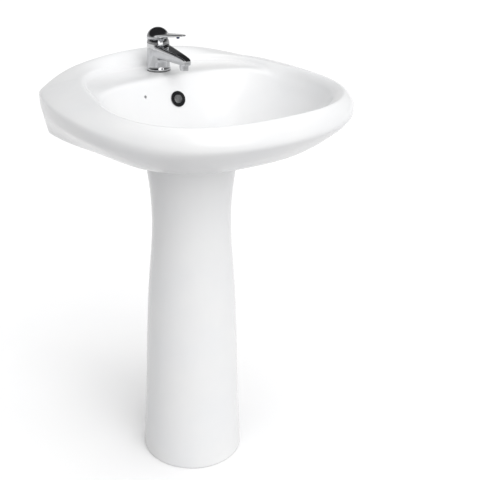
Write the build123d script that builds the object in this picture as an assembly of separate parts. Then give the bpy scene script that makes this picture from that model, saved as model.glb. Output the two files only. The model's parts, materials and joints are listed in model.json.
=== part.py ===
from build123d import *
from math import acos, cos, pi, sin
import os

# Pedestal washbasin with a single-lever mixer, a click-clack waste, a bottle trap and two
# isolating valves.  Millimetres, +Z up.  x = 0 is the middle of the basin, -Y is the front,
# z = 0 is the floor and y = +HALF_DEPTH is the wall.

# ---- Driving dimensions ----
HALF_DEPTH = 247.0        # the basin reaches from -HALF_DEPTH to the wall at +HALF_DEPTH
PLAN_CY = 30.0            # y of the point about which the plan curves are drawn
RIM_WAVES = (296.0, -20.0, 13.0, -5.5, -6.5)     # outer plan radius: sum of a_k cos(k angle)
CREST_WAVES = (232.0, 35.5, 1.0, -2.5, -13.0)    # plan radius of the inner crest of the rim
CORNER = 126.0 * pi / 180   # angle from the front at which the back corners lie
BACK_FLAT = 150.0         # half-length of the flat back edge on the wall

FRONT_EDGE_Z = 808.0      # top outer edge at the front
CORNER_EDGE_Z = 824.0     # top outer edge at the back corners
BACK_ARCH = 45.0          # rise of the back edge above the corners
EDGE_RISE = 0.035         # slope of the top outer edge towards the wall
CREST_FRONT_Z = 840.0
CREST_RISE = 0.021        # slope of the crest towards the wall
DECK_Z = 838.0            # recessed tap deck
SKIRT_TOP_Z = 800.0       # below this the skirt turns inwards
SKIRT_BOTTOM_Z = 740.0
SKIRT_INSET = 75.0        # inset of the bottom edge at the front and sides
MID_INSET = 0.42 * SKIRT_INSET     # inset half-way down the skirt, which bulges a little
CORNER_INSET = 11.0       # inset of the bottom edge at the back corners
WALL = 12.0               # ceramic thickness
CEILING_Z = 808.0         # underside of the deck
BOWL_FLOOR_Z = 712.0
BOSS_BOTTOM_Z = 672.0     # underside of the ceramic round the waste hole
BOSS_R = 38.0
WASTE_Y = 20.0
WASTE_HOLE_R = 22.5
FLANGE_SEAT_R = 33.0
FLANGE_SEAT_Z = 708.0

TAP_Y = 177.0
TAP_HOLE_R = 17.5
OVERFLOW_Y = 104.0
OVERFLOW_Z = 795.0
OVERFLOW_R = 11.0
OVERFLOW_TILT = 25.0      # the bowl's back wall leans back by this much at the overflow
CHAIN_HOLE = (-71.0, 120.0, 809.0)     # blind hole for a chain stay
CHAIN_HOLE_R = 3.0
WALL_BOLT_X = 130.0
WALL_BOLT_Z = 775.0
WALL_BOLT_R = 7.0

PEDESTAL_Y = 55.0         # axis of the round pedestal
PEDESTAL_TOP_Z = 697.0
PAD = 3.0                 # soft pad between the pedestal and the basin
PEDESTAL_WALL = 11.0
PEDESTAL_OUTLINE = ((0, 112), (20, 111), (140, 104), (275, 99), (410, 92), (475, 86), (540, 81.5),
                    (600, 82), (650, 86.5), (697, 93))
BACK_SLOT_HALF = 52.0     # half-width of the open back of the pedestal
BACK_SLOT_Y = 100.0
LUG_X = 66.0              # floor-bolt lugs inside the pedestal's foot
LUG_Y = 113.0
FLOOR_BOLT_R = 4.0

SPOUT_TIP_Y = 78.8        # axis of the down-turned nozzle
NOZZLE_Z = 860.0
NOZZLE_R = 9.0
NOZZLE_WALL = 2.0
WATERWAY_Z = 873.0
WATERWAY_R = 4.0
THROAT_TOP_Z = 878.0      # the throat rises right through the waterway
THROAT_R = 4.5
TAP_FOOT_Z = 839.5        # the tap stands on a thin gasket on the deck
FOOT_R = 24.5
BODY_R = 22.6
BODY_TOP_Z = 893.0
NECK_TOP_Z = 884.0        # seat of the cartridge nut inside the body
POCKET_Z = 862.0          # floor of the cartridge pocket
POCKET_R = 12.6
PORT_R = 2.5              # passages from the tails up to the cartridge
PIVOT_Z = 888.0           # lever pivot inside the cartridge
BONNET_R = 23.2           # ball-shaped bonnet, round which the lever's cap swings
BONNET_HOLE_R = 11.5
BONNET_SEAT_R = 18.0
CAP_INNER_R = 23.6
STUD_Y = 188.0
STUD_R = 4.0
TAIL_X = 7.5              # copper tails where they enter the tap
TAIL_Y = 171.0
TAIL_R = 5.0
TAIL_TOP_Z = 850.0
VALVE_X = 36.0
VALVE_Y = 112.0
VALVE_Z = 435.0
STEM_TOP_Z = 918.0
CAP_EDGE_Z = 900.5        # lower edge of the lever's cap on the tap's axis
CAP_EDGE_TILT = 9.0       # the edge rises towards the front, degrees
LEVER_TIP_Y = 79.0
GRUB_Z = 915.0
GRUB_R = 1.5
BUTTON_Y = 101.0          # index button under the blade
BUTTON_R = 3.0
BALL_R = 7.5
SPINDLE_R = 2.5
INLET_R = 7.5             # socket for a 15 mm supply pipe
WASTE_R = 20.5
WASTE_BORE = 17.0
WASTE_FOOT_Z = 630.0
MECHANISM_R = 9.0
STEM_R = 4.0
TRAP_Z = 560.0            # height of the trap's outlet
OUTLET_Y = 160.0          # open end of the outlet pipe, in the pedestal's open back
PIPE_R = 16.0
PIPE_BORE_R = 14.5

DUCT_R = 13.0             # ceramic round the overflow passage
DUCT_BORE = 6.0

# Spout cross-sections as (y, width, low z, high z)
SPOUT_SECTIONS = (
    (TAP_Y - 14, 36, 864, 889),
    (TAP_Y - 60, 25, 867, 884.5),
    (SPOUT_TIP_Y - 12, 16, 866, 880.5),
)

# Outline of the lever's dome as (radius, z)
DOME_OUTLINE = ((0, 890), (22.6, 890), (22.6, 903.5), (21.3, 908), (18.3, 913.4), (14, 917.4),
                (8, 920.4), (0, 921.5))

# Bowl outlines as (height, half-width, front y, back y, y of the widest place)
BOWL_LEVELS = (
    (842, 222, -219, 127, -42),
    (828, 216, -213, 119, -42),
    (800, 199, -197, 106, -40),
    (765, 166, -163, 90, -32),
    (735, 122, -116, 70, -18),
    (718, 86, -68, 50, -4),
    (BOWL_FLOOR_Z, 60, -34, 40, 6),
)

os.makedirs("parts", exist_ok=True)


# ---- Helpers ----
def write(name, *shapes):
    """Write one node from one solid, or from several separate ones."""
    shape = shapes[0] if len(shapes) == 1 else Compound(children=list(shapes))
    export_step(shape, f"parts/{name}.step")


def post(x, y, z0, z1, r):
    """Upright round bar."""
    return Pos(x, y, (z0 + z1) / 2) * Cylinder(r, z1 - z0)


def ring(x, y, z0, z1, r_out, r_in):
    return post(x, y, z0, z1, r_out) - post(x, y, z0 - 1, z1 + 1, r_in)


def block(x0, x1, y0, y1, z0, z1):
    return Pos((x0 + x1) / 2, (y0 + y1) / 2, (z0 + z1) / 2) * Box(x1 - x0, y1 - y0, z1 - z0)


def bar_y(x, z, y0, y1, r):
    """Round bar along Y."""
    return Pos(x, (y0 + y1) / 2, z) * Rot(90, 0, 0) * Cylinder(r, y1 - y0)


def bar_x(y, z, x0, x1, r):
    """Round bar along X."""
    return Pos((x0 + x1) / 2, y, z) * Rot(0, 90, 0) * Cylinder(r, x1 - x0)


def rod(start, end, r):
    """Round bar between any two points."""
    start, end = Vector(*start), Vector(*end)
    along = end - start
    return Solid.make_cylinder(r, along.length, Plane(start, z_dir=along))


def hex_nut(x, y, z0, z1, across_flats, bore):
    nut = Pos(x, y, z0) * extrude(RegularPolygon(across_flats / 2, 6, major_radius=False), z1 - z0)
    return nut - post(x, y, z0 - 1, z1 + 1, bore)


def front_plane(y, z):
    """Upright plane facing the front."""
    return Plane((0, y, z), x_dir=(1, 0, 0), z_dir=(0, -1, 0))


def turned(points, y):
    """Solid of revolution about the upright axis at (0, y), from (radius, z) points."""
    profile = make_face(Polyline(*[(r, 0, z) for r, z in points], close=True))
    return Pos(0, y, 0) * revolve(profile, Axis.Z, 360)


# ---- Plan curves ----
def level(height, rise=0.0):
    """Height of a plane that rises towards the wall: its value at the front, and its slope."""
    return height, rise


def at(x, y, plane):
    height, rise = plane
    return (x, y, height + rise * (y + HALF_DEPTH))


def waves(coefficients, angle):
    return sum(a * cos(k * angle) for k, a in enumerate(coefficients))


def polar(radius, angle, plane):
    """Point at an angle from the front, about the plan's centre."""
    return at(radius * sin(angle), PLAN_CY - radius * cos(angle), plane)


def skirt_inset(angle, side, corner):
    """Inset that holds its side value round the front, and eases to the corner value."""
    start = 70 * pi / 180
    t = min(max((abs(angle) - start) / (CORNER - start), 0), 1)
    return corner + (side - corner) * (1 - t ** 2)


def closed_plan(front, back_y, back_half, sweep_back, plane):
    """Face bounded by a curved front, swept back corners and a flat back."""
    left, right = at(-back_half, back_y, plane), at(back_half, back_y, plane)
    across, climb = -cos(sweep_back), sin(sweep_back)
    rise = plane[1] * climb
    return make_face(Curve() + [
        Spline(*front),
        Spline(front[-1], right, tangents=[(across, climb, rise), (-1, 0, 0)]),
        Line(right, left),
        Spline(left, front[0], tangents=[(-1, 0, 0), (across, -climb, -rise)]),
    ])


def outer_plan(plane, side_inset, corner_inset, back_inset):
    """Outline of the basin on one plane."""
    steps = 14
    angles = [CORNER * (2 * i / steps - 1) for i in range(steps + 1)]
    front = [polar(waves(RIM_WAVES, a) - skirt_inset(a, side_inset, corner_inset), a, plane)
             for a in angles]
    return closed_plan(front, HALF_DEPTH - back_inset, BACK_FLAT, pi / 6, plane)


def crest_plan(plane, inset):
    """Outline of the rim's inner crest, split at the same corners as the outer plan."""
    steps = 14
    angles = [CORNER * (2 * i / steps - 1) for i in range(steps + 1)]
    front = [polar(waves(CREST_WAVES, a) - inset, a, plane) for a in angles]
    back_y = PLAN_CY + waves(CREST_WAVES, pi) - inset
    return closed_plan(front, back_y, 0.4 * BACK_FLAT, pi / 3.5, plane)


def bowl_plan(z, half_width, front, back, middle, grow):
    """Leaf-shaped outline: a long front curve and a shallow back curve."""
    w = half_width + grow
    f = front - grow
    b = back + grow
    points = [(0, f), (0.56 * w, 0.87 * (f - middle) + middle), (0.9 * w, 0.5 * (f - middle) + middle),
              (w, middle), (0.87 * w, 0.62 * (b - middle) + middle),
              (0.5 * w, 0.92 * (b - middle) + middle), (0, b)]
    mirrored = [(-x, y) for x, y in reversed(points[1:-1])]
    return make_face(Spline(*[(x, y, z) for x, y in points + mirrored], periodic=True))


def bowl(grow, drop):
    return loft([bowl_plan(z - drop, w, f, b, m, grow) for z, w, f, b, m in BOWL_LEVELS])


# ---- Basin ----
def basin_block():
    """Solid outer form: tapering skirt, rim band and the arched back edge."""
    bottom = level(SKIRT_BOTTOM_Z)
    middle = level((SKIRT_BOTTOM_Z + SKIRT_TOP_Z) / 2)
    top = level(SKIRT_TOP_Z)
    edge = level(FRONT_EDGE_Z, EDGE_RISE)
    crest = level(CREST_FRONT_Z, CREST_RISE)
    form = loft([outer_plan(bottom, SKIRT_INSET, CORNER_INSET, 0),
                 outer_plan(middle, MID_INSET, CORNER_INSET / 2, 0), outer_plan(top, 0, 0, 0)])
    form += loft([outer_plan(top, 0, 0, 0), outer_plan(edge, 0, 0, 0)], ruled=True)
    form += loft([outer_plan(edge, 0, 0, 0), crest_plan(crest, 0)], ruled=True)
    return form + (back_upstand() & extrude(outer_plan(top, 0, 0, 0), 2 * BACK_ARCH))


def back_upstand():
    """Wedge behind the crest that rises to the arched back edge."""
    corner_x = 252.0
    crest_y = PLAN_CY + waves(CREST_WAVES, pi) - 2
    crest_z = CREST_FRONT_Z + CREST_RISE * (crest_y + HALF_DEPTH)
    wall = arch_face(HALF_DEPTH, corner_x, CORNER_EDGE_Z, CORNER_EDGE_Z + BACK_ARCH)
    front = arch_face(crest_y, corner_x, CORNER_EDGE_Z, crest_z)
    return loft([wall, front], ruled=True)


def arch_face(y, half_x, end_z, top_z):
    """Upright face at one y, with an arched top."""
    base_z = SKIRT_TOP_Z
    ends = (-half_x, y, end_z), (half_x, y, end_z)
    arch = ThreePointArc(ends[0], (0, y, top_z), ends[1])
    sides = Polyline(ends[1], (half_x, y, base_z), (-half_x, y, base_z), ends[0])
    return make_face(Curve() + [arch, sides])


def basin_hollow():
    """Open space under the rim and deck, before the bowl is put back into it."""
    ceiling = level(CEILING_Z)
    side = 1.4 * WALL     # the skirt slopes, so its plan thickness is more than the wall
    low = loft([outer_plan(level(SKIRT_BOTTOM_Z - 2), SKIRT_INSET + side, CORNER_INSET + WALL, WALL),
                outer_plan(level((SKIRT_BOTTOM_Z + SKIRT_TOP_Z) / 2), MID_INSET + side, WALL, WALL),
                outer_plan(level(SKIRT_TOP_Z - 4), side, WALL, WALL)])
    return low + loft([outer_plan(level(SKIRT_TOP_Z - 4), side, WALL, WALL),
                       outer_plan(ceiling, side, WALL, WALL)], ruled=True)


def pedestal_seat():
    """Curved rib under the bowl that rests on the pedestal."""
    radius = PEDESTAL_OUTLINE[-1][1] - 3
    rib = ring(0, PEDESTAL_Y, PEDESTAL_TOP_Z + PAD, PEDESTAL_TOP_Z + 62, radius, radius - WALL)
    return rib & block(-200, 200, -200, BACK_SLOT_Y - 5, 600, 800)


def overflow_frame():
    """Frame at the overflow's centre, with its +Z pointing back into the ceramic."""
    return Pos(0, OVERFLOW_Y, OVERFLOW_Z) * Rot(-90 - OVERFLOW_TILT, 0, 0)


def overflow_bar(radius, start, end):
    return overflow_frame() * Pos(0, 0, (start + end) / 2) * Cylinder(radius, end - start)


def duct(radius, end):
    """Overflow passage, from behind the overflow down to the waste hole."""
    top = (0, OVERFLOW_Y + 24, OVERFLOW_Z + 2)
    bend = (0, OVERFLOW_Y + 24, BOWL_FLOOR_Z + 38)
    return rod(top, bend, radius) + Pos(*bend) * Sphere(radius) + rod(bend, end, radius)


def basin():
    shell = basin_block() - basin_hollow()
    shell += bowl(WALL, WALL) & block(-300, 300, -300, 300, 600, DECK_Z - 8)
    shell += pedestal_seat()
    shell += post(0, WASTE_Y, BOSS_BOTTOM_Z, BOWL_FLOOR_Z - 3, BOSS_R)
    shell += duct(DUCT_R, (0, WASTE_Y + 26, BOSS_BOTTOM_Z + 24))
    shell += overflow_bar(DUCT_R + 3, 6, 30)
    shell -= extrude(crest_plan(level(DECK_Z), 3), 2 * BACK_ARCH)
    shell -= bowl(0, 0)
    shell -= duct(DUCT_BORE, (0, WASTE_Y + 10, BOSS_BOTTOM_Z + 14))
    shell -= overflow_bar(OVERFLOW_R, -10, 24) + overflow_bar(OVERFLOW_R + 5, -10, 0)
    shell -= post(0, WASTE_Y, BOSS_BOTTOM_Z - 5, BOWL_FLOOR_Z + 20, WASTE_HOLE_R)
    shell -= post(0, WASTE_Y, FLANGE_SEAT_Z, BOWL_FLOOR_Z + 20, FLANGE_SEAT_R)
    shell -= post(0, TAP_Y, CEILING_Z - 20, DECK_Z + 20, TAP_HOLE_R)
    x, y, z = CHAIN_HOLE
    shell -= bar_y(x, z, y - 20, y + 2, CHAIN_HOLE_R)
    for side in (-1, 1):
        shell -= bar_y(side * WALL_BOLT_X, WALL_BOLT_Z, HALF_DEPTH - 40, HALF_DEPTH + 5, WALL_BOLT_R)
    return shell


# ---- Pedestal ----
def pedestal():
    outer = [(r, 0, z) for z, r in PEDESTAL_OUTLINE]
    inner = [(r - PEDESTAL_WALL, 0, z) for z, r in PEDESTAL_OUTLINE]
    profile = make_face(Curve() + [Spline(*outer), Line(outer[-1], inner[-1]),
                                   Spline(*inner), Line(inner[0], outer[0])])
    column = Pos(0, PEDESTAL_Y, 0) * revolve(profile, Axis.Z, 360)
    slot_top = PEDESTAL_TOP_Z + 10
    column -= block(-BACK_SLOT_HALF, BACK_SLOT_HALF, BACK_SLOT_Y, HALF_DEPTH, -10, slot_top)
    foot_r = PEDESTAL_OUTLINE[0][1] - 3
    for side in (-1, 1):
        near, far = sorted((side * BACK_SLOT_HALF, side * (BACK_SLOT_HALF + 32)))
        lug = block(near, far, LUG_Y - 16, LUG_Y + 16, 0, 14) & post(0, PEDESTAL_Y, 0, 14, foot_r)
        column += lug
        column -= post(side * LUG_X, LUG_Y, -5, 20, FLOOR_BOLT_R)
    return column


def pedestal_pads():
    """Soft strip between the pedestal's top edge and the basin's seat."""
    radius = PEDESTAL_OUTLINE[-1][1] - 3
    strip = ring(0, PEDESTAL_Y, PEDESTAL_TOP_Z, PEDESTAL_TOP_Z + PAD, radius, radius - 8)
    return strip & block(-200, 200, -200, BACK_SLOT_Y - 5, 600, 800)


# ---- Tap ----
def tap_body():
    form = turned([(0, TAP_FOOT_Z), (FOOT_R, TAP_FOOT_Z), (FOOT_R, TAP_FOOT_Z + 2),
                   (BODY_R, TAP_FOOT_Z + 6), (BODY_R, BODY_TOP_Z), (0, BODY_TOP_Z)], TAP_Y)
    form += loft([spout_face(*section) for section in SPOUT_SECTIONS])
    form += post(0, SPOUT_TIP_Y, NOZZLE_Z, NOZZLE_Z + 16, NOZZLE_R)
    form -= post(0, TAP_Y, POCKET_Z, BODY_TOP_Z + 5, POCKET_R)
    form -= post(0, TAP_Y, NECK_TOP_Z, BODY_TOP_Z + 5, BONNET_SEAT_R)
    form -= post(0, SPOUT_TIP_Y, NOZZLE_Z - 1, NOZZLE_Z + 10, NOZZLE_R - NOZZLE_WALL)
    form -= post(0, SPOUT_TIP_Y, NOZZLE_Z + 5, THROAT_TOP_Z, THROAT_R)
    form -= bar_y(0, WATERWAY_Z, SPOUT_TIP_Y, TAP_Y - 5, WATERWAY_R)
    form -= post(0, STUD_Y, TAP_FOOT_Z - 1, TAP_FOOT_Z + 13, STUD_R)
    for side in (-1, 1):
        form -= post(side * TAIL_X, TAIL_Y, TAP_FOOT_Z - 1, TAIL_TOP_Z, TAIL_R)
        form -= post(side * TAIL_X, TAIL_Y, TAIL_TOP_Z - 1, POCKET_Z + 1, PORT_R)
    return form


def spout_face(y, width, z0, z1):
    return front_plane(y, (z0 + z1) / 2) * RectangleRounded(width, z1 - z0, 0.38 * (z1 - z0))


def aerator():
    sleeve_r = NOZZLE_R - 2.1
    mouth_r = NOZZLE_R - 3.5
    housing = ring(0, SPOUT_TIP_Y, NOZZLE_Z - 3, NOZZLE_Z, NOZZLE_R - 0.4, mouth_r)
    housing += ring(0, SPOUT_TIP_Y, NOZZLE_Z - 0.5, NOZZLE_Z + 8, sleeve_r, mouth_r)
    insert = post(0, SPOUT_TIP_Y, NOZZLE_Z - 2, NOZZLE_Z + 6, mouth_r - 0.1)
    for radius, count in ((3.8, 9), (1.7, 4)):
        for i in range(count):
            x = radius * cos(2 * pi * i / count)
            y = SPOUT_TIP_Y + radius * sin(2 * pi * i / count)
            insert -= post(x, y, NOZZLE_Z - 5, NOZZLE_Z + 9, 0.7)
    washer = ring(0, SPOUT_TIP_Y, NOZZLE_Z + 8, NOZZLE_Z + 10, sleeve_r, mouth_r - 1)
    return housing, insert, washer


def cartridge():
    """Ceramic-disc cartridge: housing and fixed disc, and the pieces that swivel and slide."""
    y = TAP_Y
    base = POCKET_Z + 1
    body = turned([(0, base), (12.5, base), (12.5, NECK_TOP_Z), (8.05, NECK_TOP_Z), (8.05, 882),
                   (10, 882), (10, base + 1.5), (0, base + 1.5)], y)
    body -= bar_y(0, WATERWAY_Z, y - 14, y - 9, 3.5)
    fixed = post(0, y, base + 1.5, base + 4, 9.9)
    seals = []
    for x, port_y in ((-TAIL_X, TAIL_Y), (TAIL_X, TAIL_Y), (0, y + 7)):
        body -= post(x * 0.85, port_y, base - 1, base + 2, 1.8)
        fixed -= post(x * 0.85, port_y, base, base + 5, 1.8)
        seals.append(ring(x * 0.85, port_y, POCKET_Z, base, 3.4, 2.6))
    moving = post(0, y, base + 4.05, base + 6.4, 6.3) - block(-3, 3, y - 3, y + 3, base, base + 5)
    carrier = block(-4, 4, y - 4, y + 4, base + 6.4, PIVOT_Z - 7)
    carrier -= block(-3.1, 3.1, y - 2.8, y + 2.8, PIVOT_Z - 11.2, PIVOT_Z)
    turret = post(0, y, base + 6.5, 881.9, 9.95) + post(0, y, 881.8, PIVOT_Z + 6, 8.0)
    turret -= block(-4.1, 4.1, y - 7.2, y + 4.5, base, 881.6)
    turret -= block(-3.3, 3.3, y - 5.8, y + 5.8, 881.5, PIVOT_Z + 10)
    turret -= bar_x(y, PIVOT_Z, -10, 10, 1.5)
    pin = bar_x(y, PIVOT_Z, -7.4, 7.4, 1.5)
    stem = block(-3.1, 3.1, y - 3, y + 3, PIVOT_Z - 5.5, STEM_TOP_Z)
    stem += post(0, y, PIVOT_Z - 8, PIVOT_Z - 5, 1.8) + Pos(0, y, PIVOT_Z - 8) * Sphere(2.5)
    stem -= bar_x(y, PIVOT_Z, -10, 10, 1.55)
    nut = ring(0, y, NECK_TOP_Z, NECK_TOP_Z + 6, 15.5, 10)
    return body, fixed, seals, moving, carrier, turret, pin, stem, nut


def bonnet_cap():
    """Chromed ball-shaped collar that closes the tap's body over the cartridge nut."""
    low = acos(BODY_R / BONNET_R)
    high = acos(BONNET_HOLE_R / BONNET_R)
    steps = 8
    ball = []
    for step in range(steps + 1):
        tilt = low + (high - low) * step / steps
        ball.append((BONNET_R * cos(tilt), PIVOT_Z + BONNET_R * sin(tilt)))
    inside = [(BONNET_HOLE_R, 905), (15.5, 902), (BONNET_SEAT_R, 897), (BONNET_SEAT_R, BODY_TOP_Z)]
    return turned([(BODY_R, BODY_TOP_Z)] + ball[1:] + inside, TAP_Y)


def lever_handle():
    """Cap-shaped handle: a dome over the bonnet and a flat blade towards the front."""
    dome = turned(DOME_OUTLINE, TAP_Y)
    root = front_plane(TAP_Y - 14, 909.5) * Rectangle(28, 6)
    tip = front_plane(LEVER_TIP_Y, 921) * Rectangle(19, 3)
    handle = dome + loft([root, tip])
    skirt_cut = Pos(0, TAP_Y, CAP_EDGE_Z) * Rot(-CAP_EDGE_TILT, 0, 0) * Pos(0, 0, -20) * Box(120, 120, 40)
    handle -= skirt_cut & block(-60, 60, TAP_Y - 32, TAP_Y + 60, 860, 910)
    handle -= Pos(0, TAP_Y, PIVOT_Z) * Sphere(CAP_INNER_R)
    handle -= block(-3.1, 3.1, TAP_Y - 3, TAP_Y + 3, 900, STEM_TOP_Z)
    grub = bar_y(0, GRUB_Z, TAP_Y + 3, TAP_Y + 12, GRUB_R)
    handle -= bar_y(0, GRUB_Z, TAP_Y + 3, TAP_Y + 40, GRUB_R)
    button = post(0, BUTTON_Y, 912.5, 917.2, BUTTON_R)
    handle -= button
    return handle, grub, button


def tap_fixing():
    """Gasket on the deck, and the horseshoe clamp, stud and nut below it."""
    gasket = ring(0, TAP_Y, DECK_Z, TAP_FOOT_Z, 23.5, TAP_HOLE_R + 0.2)
    rubber = clamp(CEILING_Z - 2, CEILING_Z)
    plate = clamp(CEILING_Z - 5, CEILING_Z - 2)
    stud = post(0, STUD_Y, CEILING_Z - 36, TAP_FOOT_Z + 12, STUD_R - 0.05)
    nut = hex_nut(0, STUD_Y, CEILING_Z - 15, CEILING_Z - 5, 13, STUD_R)
    return gasket, rubber, plate, stud, nut


def clamp(z0, z1):
    gap = TAIL_X + TAIL_R + 1
    disc = post(0, TAP_Y, z0, z1, 26) - block(-gap, gap, TAP_Y - 30, TAP_Y + 2, z0 - 1, z1 + 1)
    return disc - post(0, STUD_Y, z0 - 1, z1 + 1, STUD_R + 0.1)


# ---- Supply tails and isolating valves ----
def tail(side):
    """Copper tail from the tap down to its valve, inside the pedestal's open back."""
    route = [(side * TAIL_X, TAIL_Y, TAIL_TOP_Z), (side * TAIL_X, TAIL_Y, 775),
             (side * VALVE_X, 142, 690), (side * VALVE_X, VALVE_Y, 600),
             (side * VALVE_X, VALVE_Y, VALVE_Z + 20)]
    path = FilletPolyline(*route, radius=60)
    section = Plane(route[0], z_dir=(0, 0, -1)) * Circle(TAIL_R)
    bore = Plane(route[0], z_dir=(0, 0, -1)) * Circle(TAIL_R - 1)
    return sweep(section, path) - sweep(bore, path)


def valve(side):
    """Isolating ball valve: body, ball with its spindle, and the quarter-turn handle."""
    x = side * VALVE_X
    body = post(x, VALVE_Y, VALVE_Z - 15, VALVE_Z + 15, 10.5)
    body += post(x, VALVE_Y, VALVE_Z - 30, VALVE_Z + 30, 9)
    body -= post(x, VALVE_Y, VALVE_Z - 31, VALVE_Z + 31, 4)
    body -= post(x, VALVE_Y, VALVE_Z + 20, VALVE_Z + 31, TAIL_R)
    body -= post(x, VALVE_Y, VALVE_Z - 31, VALVE_Z - 15, INLET_R)
    body -= Pos(x, VALVE_Y, VALVE_Z) * Sphere(BALL_R + 0.05)
    body -= bar_y(x, VALVE_Z, VALVE_Y, VALVE_Y + 15, SPINDLE_R + 0.05)
    ball = Pos(x, VALVE_Y, VALVE_Z) * Sphere(BALL_R)
    ball += bar_y(x, VALVE_Z, VALVE_Y, VALVE_Y + 14, SPINDLE_R)
    ball -= post(x, VALVE_Y, VALVE_Z - 10, VALVE_Z + 10, 4)
    handle = block(x - 4.5, x + 4.5, VALVE_Y + 11, VALVE_Y + 14, VALVE_Z - 22, VALVE_Z + 6)
    handle -= bar_y(x, VALVE_Z, VALVE_Y, VALVE_Y + 20, SPINDLE_R)
    return body, ball, handle


def valve_fittings():
    """Compression nuts and olives of both valves."""
    nuts, olives = [], []
    for side in (-1, 1):
        x = side * VALVE_X
        top = hex_nut(x, VALVE_Y, VALVE_Z + 22, VALVE_Z + 34, 22, 9)
        nuts.append(top + ring(x, VALVE_Y, VALVE_Z + 32, VALVE_Z + 34, 10, TAIL_R))
        nuts.append(hex_nut(x, VALVE_Y, VALVE_Z - 32, VALVE_Z - 22, 22, 9))
        olives.append(ring(x, VALVE_Y, VALVE_Z + 30, VALVE_Z + 32, 8.8, TAIL_R))
    return nuts, olives


# ---- Waste with click-clack plug ----
def waste():
    y, seat = WASTE_Y, FLANGE_SEAT_Z
    top_seal = ring(0, y, seat, seat + 1.5, 31, WASTE_R)
    body = ring(0, y, seat + 1.5, BOWL_FLOOR_Z, 32, WASTE_BORE)
    body += ring(0, y, WASTE_FOOT_Z, seat + 3, WASTE_R, WASTE_BORE)
    body -= block(-30, 30, y - 5, y + 5, BOSS_BOTTOM_Z + 8, BOSS_BOTTOM_Z + 22)
    body += ring(0, y, 668, 676, 12, MECHANISM_R)
    body += block(-WASTE_BORE - 1, -11, y - 1.5, y + 1.5, 668, 674)
    body += block(11, WASTE_BORE + 1, y - 1.5, y + 1.5, 668, 674)
    bottom_seal = ring(0, y, BOSS_BOTTOM_Z - 6, BOSS_BOTTOM_Z, 32, WASTE_R)
    backnut = hex_nut(0, y, BOSS_BOTTOM_Z - 15, BOSS_BOTTOM_Z - 6, 52, WASTE_R)
    return top_seal, body, bottom_seal, backnut


def plug():
    y, top = WASTE_Y, BOWL_FLOOR_Z
    seal = ring(0, y, top + 0.1, top + 1.4, 29, 25)
    cap = turned([(0, top + 1.4), (30, top + 1.4), (30, top + 3), (22, top + 5.5), (0, top + 7)], y)
    mechanism = post(0, y, 656, 692, MECHANISM_R) - post(0, y, 660, 688, 7)
    mechanism -= post(0, y, 650, 700, STEM_R + 0.05)
    stem = post(0, y, 661, top + 1.4, STEM_R) + post(0, y, 675, 677.5, 6.6)
    spring_z, pitch, wire = 661.2, 3.0, 0.7
    coil = Pos(0, y, spring_z) * Helix(pitch, 4 * pitch, 5.6)
    start = coil @ 0
    section = Plane(start, z_dir=coil % 0) * Circle(wire)
    spring = sweep(section, coil, is_frenet=True)
    return seal, cap, mechanism, stem, spring


def overflow_ring():
    sleeve_r = OVERFLOW_R - 0.1
    rim = overflow_bar(OVERFLOW_R + 4.5, -2.2, 0) + overflow_bar(sleeve_r, 0, 12)
    return rim - overflow_bar(OVERFLOW_R - 2.5, -5, 15)


# ---- Bottle trap ----
def trap():
    y = WASTE_Y
    foot = WASTE_FOOT_Z
    nut = hex_nut(0, y, foot - 8, foot + 14, 50, WASTE_R) + ring(0, y, foot - 10, foot - 8, 24, PIPE_R)
    nut -= post(0, y, foot - 8, foot - 2, 20.2)
    washer = ring(0, y, foot - 2, foot, 20, PIPE_BORE_R)
    inlet = ring(0, y, TRAP_Z - 60, foot - 4, PIPE_R, PIPE_BORE_R)
    inlet += ring(0, y, foot - 8, foot - 2, 20, PIPE_BORE_R)
    body = post(0, y, TRAP_Z - 40, TRAP_Z + 42, 31) + bar_y(0, TRAP_Z, y, y + 50, 20)
    body -= post(0, y, TRAP_Z - 41, TRAP_Z + 39, 28)
    body -= post(0, y, TRAP_Z + 30, TRAP_Z + 50, PIPE_R)
    body -= bar_y(0, TRAP_Z, y, y + 60, PIPE_R)
    cup = turned([(0, TRAP_Z - 80), (26, TRAP_Z - 80), (30, TRAP_Z - 74), (30, TRAP_Z - 42),
                  (27, TRAP_Z - 42), (27, TRAP_Z - 73), (24, TRAP_Z - 76), (0, TRAP_Z - 76)], y)
    cup_seal = ring(0, y, TRAP_Z - 42, TRAP_Z - 40, 30, 27.5)
    pipe = bar_y(0, TRAP_Z, y + 36, OUTLET_Y, PIPE_R) - bar_y(0, TRAP_Z, y, OUTLET_Y + 5, PIPE_BORE_R)
    out_washer = bar_y(0, TRAP_Z, y + 50, y + 52.5, 19.5) - bar_y(0, TRAP_Z, y, y + 60, PIPE_R)
    out_nut = bar_y(0, TRAP_Z, y + 38, y + 56, 25) - bar_y(0, TRAP_Z, y + 30, y + 52.5, 20)
    out_nut -= bar_y(0, TRAP_Z, y + 30, y + 60, PIPE_R)
    for i in range(10):
        groove = Pos(25.6 * cos(pi * i / 5), y + 47, TRAP_Z + 25.6 * sin(pi * i / 5))
        out_nut -= groove * Rot(90, 0, 0) * Cylinder(2.2, 30)
    return nut, washer, inlet, body, cup, cup_seal, pipe, out_washer, out_nut


# ---- Write the nodes ----
def write_all(names, shapes):
    for name, shape in zip(names, shapes):
        write(name, shape)


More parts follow.
